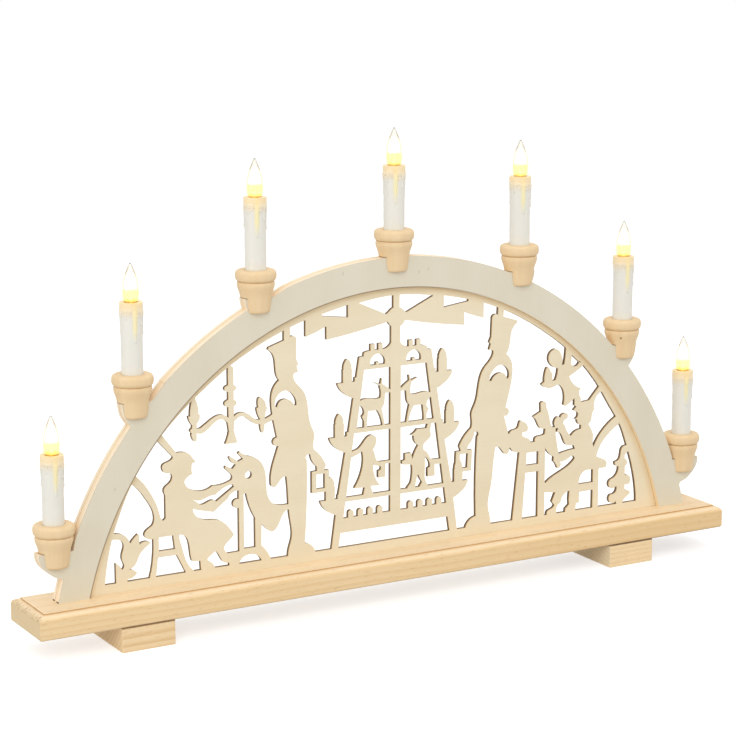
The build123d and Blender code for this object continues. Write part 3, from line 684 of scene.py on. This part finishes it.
cupShape = {
    'sides': 80,
    'profile': [
        (2.5, -23.4), (8.2, -23.4), (9.0, -23.3), (9.7, -22.9), (10.2, -22.2), (10.45, -21.2),
        (10.6, -19.8), (10.95, -17), (11.3, -14), (11.6, -11.6), (12.0, -9.4), (12.6, -7.4),
        (13.25, -5.6), (13.7, -4.2), (13.92, -3.0), (13.92, -1.9), (13.8, -1.1), (13.5, -0.5),
        (13.0, -0.12), (12.3, 0.05), (13.4, 0.2), (14.15, 0.55), (14.75, 1.3), (15.08, 2.3),
        (15.2, 3.4), (15.2, 4.8), (15.1, 5.8), (14.8, 6.7), (14.3, 7.4), (13.6, 7.9),
        (12.7, 8.2), (11.6, 8.3), (8.6, 8.3), (8.15, 8.15), (8.0, 7.8), (8.0, -3.7), (2.5, -3.7),
    ],
    'rimHeight': 8.3,
    'slotWidth': 11.2,
    'seatDrop': 12.3,
    'cutterLength': 60,  # the block that cuts the slot
    'cutterHeight': 20,
    'slotEdge': 0.4,
    'edgeSegments': 2,
    'sharpFrom': 55,  # degrees
    'smoothTo': 35,
}


def makeCups(finishes):
    shape = cupShape
    pattern = turnPiece('cupPattern', shape['profile'], shape['sides'])
    bpy.ops.object.select_all(action='DESELECT')
    cutterZ = -shape['seatDrop'] - shape['cutterHeight'] / 2
    bpy.ops.mesh.primitive_cube_add(size=1, location=(0, 0, cutterZ * mm))
    cutter = bpy.context.active_object
    cutter.scale = (shape['cutterLength'] * mm, shape['slotWidth'] * mm, shape['cutterHeight'] * mm)
    settle(cutter)
    modified(pattern, 'BOOLEAN', {'operation': 'DIFFERENCE', 'solver': 'EXACT', 'object': cutter})
    bpy.data.objects.remove(cutter)
    modified(pattern, 'BEVEL', {
        'width': shape['slotEdge'] * mm,
        'segments': shape['edgeSegments'],
        'limit_method': 'ANGLE',
        'angle_limit': math.radians(shape['sharpFrom']),
    })
    smoothed(pattern, shape['smoothTo'])
    for number in candleNumbers:
        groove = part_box('cup_%d' % number)[1][2] - shape['rimHeight'] * mm
        cup = copied(pattern, 'turnedCup_%d' % number, candleX(number), groove)
        cup.data.materials.append(finishes[number])
        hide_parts('cup_%d' % number)
        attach(cup, 'root')
    bpy.data.objects.remove(pattern)
    print('cups ready')


# Candles: height 0 is the top of the lamp holder's collar

waxShape = {
    'bandProfile': [
        (8.0, -0.3), (8.3, -0.35), (8.44, -0.7), (8.48, -3.0), (8.44, -5.8), (8.34, -6.9),
        (8.12, -7.4), (7.8, -7.6),
    ],
    'bandSides': 96,
    'runs': [  # degrees round from the camera's side, and length
        (18, 29), (62, 17), (88, 24), (-78, 22), (-30, 12), (135, 20), (-135, 26), (180, 14),
        (-8, 9.5), (40, 10.5), (-54, 9.2), (110, 11), (158, 9), (-104, 10.5), (-158, 11.5),
    ],
    'runProfile': [  # half width, and share of the run's length
        (0.5, 0), (1.6, 0.08), (1.75, 0.2), (1.25, 0.38), (0.85, 0.62), (0.82, 0.78),
        (1.1, 0.88), (1.12, 0.94), (0.8, 0.985), (0, 1),
    ],
    'runSides': 14,
    'runStart': -4.5,  # inside the band
    'runFlatness': 0.52,
    'runRadius': 7.95,
    'cameraSide': -119.8,  # degrees, the side that faces the camera
    'voxel': 0.32,
    'smoothFactor': 0.5,
    'smoothRounds': 4,
    'turns': [8, 8, -5, -9, -2, 4, 0],  # degrees, for each candle
}


def waxRun(turn, length):  # one drip that has run down the sleeve
    shape = waxShape
    start = shape['runStart']
    profile = [(width, start - share * (length + start)) for width, share in shape['runProfile']]
    run = turnPiece('waxRun', profile, shape['runSides'])
    run.scale = (shape['runFlatness'], 1, 1)
    settle(run)
    angle = math.radians(shape['cameraSide'] + turn)
    radius = shape['runRadius'] * mm
    run.location = (radius * math.cos(angle), radius * math.sin(angle), 0)
    run.rotation_euler = (0, 0, angle)
    settle(run)
    return run


def makeWax(finishes):
    shape = waxShape
    pieces = [turnPiece('waxBand', shape['bandProfile'], shape['bandSides'])]
    pieces += [waxRun(turn, length) for turn, length in shape['runs']]
    pattern = joined(pieces, 'waxPattern')
    modified(pattern, 'REMESH', {'mode': 'VOXEL', 'voxel_size': shape['voxel'] * mm})
    modified(pattern, 'SMOOTH', {'factor': shape['smoothFactor'], 'iterations': shape['smoothRounds']})
    smoothed(pattern, 180)
    for number in candleNumbers:
        turn = shape['turns'][number - 1]
        wax = copied(pattern, 'candleWax_%d' % number, candleX(number), candleTop(number), turn)
        wax.data.materials.append(finishes[number])
        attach(wax, 'root')
    bpy.data.objects.remove(pattern)
    print('wax ready')


glassShape = {
    'profile': [
        (4.6, 0.9), (5.5, 1.3), (6.05, 2.5), (6.2, 4.4), (6.2, 7.0), (6.16, 9.0), (5.93, 11.4),
        (5.52, 13.8), (4.92, 16.4), (4.18, 18.9), (3.38, 21.2), (2.6, 23.2), (1.88, 25.0),
        (1.25, 26.4), (0.72, 27.4), (0.3, 27.95), (0, 28.1),
    ],
    'sides': 48,
    'wall': 0.45,
    'smoothTo': 50,
}


def makeGlasses(finishes):
    shape = glassShape
    pattern = turnPiece('glassPattern', shape['profile'], shape['sides'])
    modified(pattern, 'SOLIDIFY', {'thickness': shape['wall'] * mm, 'offset': -1.0, 'use_even_offset': True})
    smoothed(pattern, shape['smoothTo'])
    for number in candleNumbers:
        glass = copied(pattern, 'pointedGlass_%d' % number, candleX(number), candleTop(number))
        glass.data.materials.append(finishes[number])
        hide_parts('lamp_glass_%d' % number)
        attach(glass, 'lamp_%d' % number)
    bpy.data.objects.remove(pattern)
    print('lamp glasses ready')


wireShape = {
    'bead': [(0.3, 0.95), (1.1, 1.0), (1.3, 1.6), (1.25, 2.6), (0.9, 3.3), (0.5, 3.6), (0, 3.65)],
    'beadSides': 24,
    'lead': [(0.22, 3.0), (0.22, 8.0), (0.2, 14.2), (0, 14.3)],
    'leadSides': 10,
    'leadGap': 1.1,
    'coilRadius': 0.3,
    'coilWire': 0.09,
    'coilSides': 6,
    'coilTurns': 9,
    'coilSteps': 10,
    'coilHeight': 14.4,
    'turnStep': 20,  # each lamp is screwed home a little further round than the one before it
    'smoothTo': 50,
}


def makeFilaments(finish):
    shape = wireShape
    pieces = [turnPiece('glassBead', shape['bead'], shape['beadSides'])]
    for side in (-1, 1):
        lead = turnPiece('lead', shape['lead'], shape['leadSides'])
        lead.location = (side * shape['leadGap'] * mm, 0, 0)
        settle(lead)
        pieces.append(lead)
    bpy.ops.object.select_all(action='DESELECT')
    bpy.ops.mesh.primitive_circle_add(
        vertices=shape['coilSides'], radius=shape['coilWire'] * mm, location=(0, shape['coilRadius'] * mm, 0))
    coil = bpy.context.active_object
    settle(coil)
    pitch = 2 * shape['leadGap'] / shape['coilTurns']
    modified(coil, 'SCREW', {
        'axis': 'X',
        'screw_offset': pitch * mm,
        'iterations': shape['coilTurns'],
        'steps': shape['coilSteps'],
        'render_steps': shape['coilSteps'],
    })
    coil.location = (-shape['leadGap'] * mm, 0, shape['coilHeight'] * mm)
    settle(coil)
    pattern = joined(pieces + [coil], 'filamentPattern')
    smoothed(pattern, shape['smoothTo'])
    for number in candleNumbers:
        turn = shape['turnStep'] * number
        wire = copied(pattern, 'coiledFilament_%d' % number, candleX(number), candleTop(number), turn)
        wire.data.materials.append(finish)
        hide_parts('lamp_filament_%d' % number)
        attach(wire, 'lamp_%d' % number)
    bpy.data.objects.remove(pattern)
    print('filaments ready')


plasticLook = {
    'white': shade(232, 229, 219),
    'whiteDeep': shade(224, 221, 210),
    'cream': shade(240, 213, 164),
    'streak': shade(249, 236, 178),
    'glow': shade(255, 220, 116),
    'creamAndGlowDepth': (0.001, 0.013),  # below the candle's top: the collar's cream, partly painted lamp light, and the painted glow
    'creamShare': 0.8,
    'cloudScale': 120.0,
    'cloudShare': 0.25,
    'streakEdge': (0.0008, 0.0026),
    'streakDepth': (0.016, 0.03),
    'streakShare': 0.8,
    'roughness': 0.32,
    'roughClouds': 0.12,
    'glowStrength': 0.09,
    'softness': 0.15,  # light that passes under the skin, and how far in metres
    'softReach': (0.004, 0.003, 0.002),
}


def sleevePlastic(number):
    look = plasticLook
    material, flow, surface = newMaterial('sleevePlastic_%d' % number)
    place = objectPlace(flow)
    x, y, z = place.parts()
    depth = candleTop(number) - z
    # near the top the colour is partly the collar's own cream, partly painted lamp light
    creamAndLampGlow = 1 - depth.ramped(*look['creamAndGlowDepth'])
    cloud = place.noise(look['cloudScale'])
    white = (cloud * look['cloudShare']).colour(look['white'], look['whiteDeep'])

    # a lit streak down the middle of the first and longest wax run
    angle = math.radians(waxShape['cameraSide'] + waxShape['runs'][0][0] + waxShape['turns'][number - 1])
    across = x - candleX(number)
    aside = abs(across * math.sin(angle) - y * math.cos(angle))
    runSide = (across * math.cos(angle) + y * math.sin(angle)) > 0
    streak = (1 - aside.ramped(*look['streakEdge'])) * (1 - depth.ramped(*look['streakDepth'])) * runSide
    white = (streak * look['streakShare']).colour(white, look['streak'])

    plug(surface, 'Base Color', (creamAndLampGlow * look['creamShare']).colour(white, look['cream']))
    plug(surface, 'Roughness', look['roughness'] + cloud * look['roughClouds'])
    # painted light: the sleeve's top glows warm, as if lit by its lamp
    plug(surface, 'Emission Color', creamAndLampGlow.colour(black, look['glow']))
    plug(surface, 'Emission Strength', look['glowStrength'])
    plug(surface, 'Subsurface Weight', look['softness'])
    plug(surface, 'Subsurface Radius', look['softReach'])
    return material


glassLook = {
    'clear': shade(255, 252, 244),
    'neckTint': shade(253, 238, 198),
    'rimTint': shade(252, 234, 150),
    'outline': shade(140, 106, 56),
    'core': shade(255, 253, 242),
    'glow': shade(255, 220, 116),
    'bellyFrom': (0.0082, 0.0112),  # heights over the collar
    'bellyTo': (0.0175, 0.0225),
    'tipFrom': (0.0165, 0.0205),
    'rimEdge': (0.2, 0.6),  # how far a face turns away from the eye
    'outlineEdge': (0.3, 0.72),
    'coreFacing': (0.5, 0.85),
    'coreLight': 0.3,
    'neckLight': 0.22,
    'roughness': 0.02,
    'index': 1.45,
}


def lampGlass(number):
    look = glassLook
    material, flow, surface = newMaterial('lampGlass_%d' % number)
    height = objectPlace(flow).parts()[2] - candleTop(number)
    edge = flow.node('ShaderNodeLayerWeight', {}, {'Blend': 0.5}, output='Facing')
    overNeck = height.ramped(*look['bellyFrom'])
    neck = 1 - overNeck
    belly = overNeck * (1 - height.ramped(*look['bellyTo']))
    tip = height.ramped(*look['tipFrom'])
    tint = neck.colour(look['clear'], look['neckTint'])
    tint = (belly * edge.ramped(*look['rimEdge'])).colour(tint, look['rimTint'])
    tint = (tip * edge.ramped(*look['outlineEdge'])).colour(tint, look['outline'])
    core = (1 - edge).ramped(*look['coreFacing']) * belly * look['coreLight']
    light = (core + neck * look['neckLight']).smaller(1.0)
    plug(surface, 'Base Color', tint)
    plug(surface, 'Roughness', look['roughness'])
    plug(surface, 'Transmission Weight', 1.0)
    plug(surface, 'IOR', look['index'])
    plug(surface, 'Emission Color', light.colour(black, neck.colour(look['core'], look['glow'])))
    plug(surface, 'Emission Strength', 1.0)
    return material


brassLook = {
    'colour': shade(205, 170, 92),
    'darker': 0.8,
    'mottleScale': 300.0,
    'mottleShare': 0.5,
    'roughness': 0.3,
    'roughMottle': 0.1,
    'metallic': 1.0,
    'glow': black,
    'glowStrength': 0.0,
}

wireLook = dict(
    brassLook, colour=shade(210, 200, 190), roughness=0.35, metallic=0.6, glow=shade(255, 220, 140),
    glowStrength=2.0)


def mottledMetal(name, look):
    material, flow, surface = newMaterial(name)
    mottle = objectPlace(flow).noise(look['mottleScale'])
    red, green, blue, alpha = look['colour']
    deep = (red * look['darker'], green * look['darker'], blue * look['darker'], alpha)
    plug(surface, 'Base Color', (mottle * look['mottleShare']).colour(look['colour'], deep))
    plug(surface, 'Roughness', look['roughness'] + mottle * look['roughMottle'])
    plug(surface, 'Metallic', look['metallic'])
    plug(surface, 'Emission Color', look['glow'])
    plug(surface, 'Emission Strength', look['glowStrength'])
    return material


def finish(node, material):
    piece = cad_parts[node]
    piece.data.materials.clear()
    piece.data.materials.append(material)


def finishNodes():
    finish('base_board', pineWood('pineBoard', pineLook))
    finish('left_foot', pineWood('pineBlock', blockLook))
    finish('right_foot', pineWood('paleAndLitPineBlock', paleAndLitBlockLook))
    plywood = ringPlywood('ringPlywood', ringLook)
    finish('front_ring', plywood)
    finish('back_ring', plywood)
    finish('fretwork_panel', birchPanel('birchPanel', panelLook))
    brass = mottledMetal('stampedBrass', brassLook)
    wire = mottledMetal('hotWire', wireLook)
    cupWoods = {}
    plastics = {}
    glasses = {}
    for number in candleNumbers:
        cupWoods[number] = turnedWood(number, cupLook)
        plastics[number] = sleevePlastic(number)
        glasses[number] = lampGlass(number)
        finish('cup_%d' % number, cupWoods[number])
        finish('candle_sleeve_%d' % number, plastics[number])
        finish('lamp_holder_%d' % number, plastics[number])
        finish('contact_shell_%d' % number, brass)
        finish('lamp_cap_%d' % number, brass)
        finish('lamp_glass_%d' % number, glasses[number])
        finish('lamp_filament_%d' % number, wire)
    print('CAD nodes finished')
    makeCups(cupWoods)
    makeWax(plastics)
    makeGlasses(glasses)
    makeFilaments(wire)


makeCamera()
makeSky()
makeLamps()
makeFloor()
finishNodes()
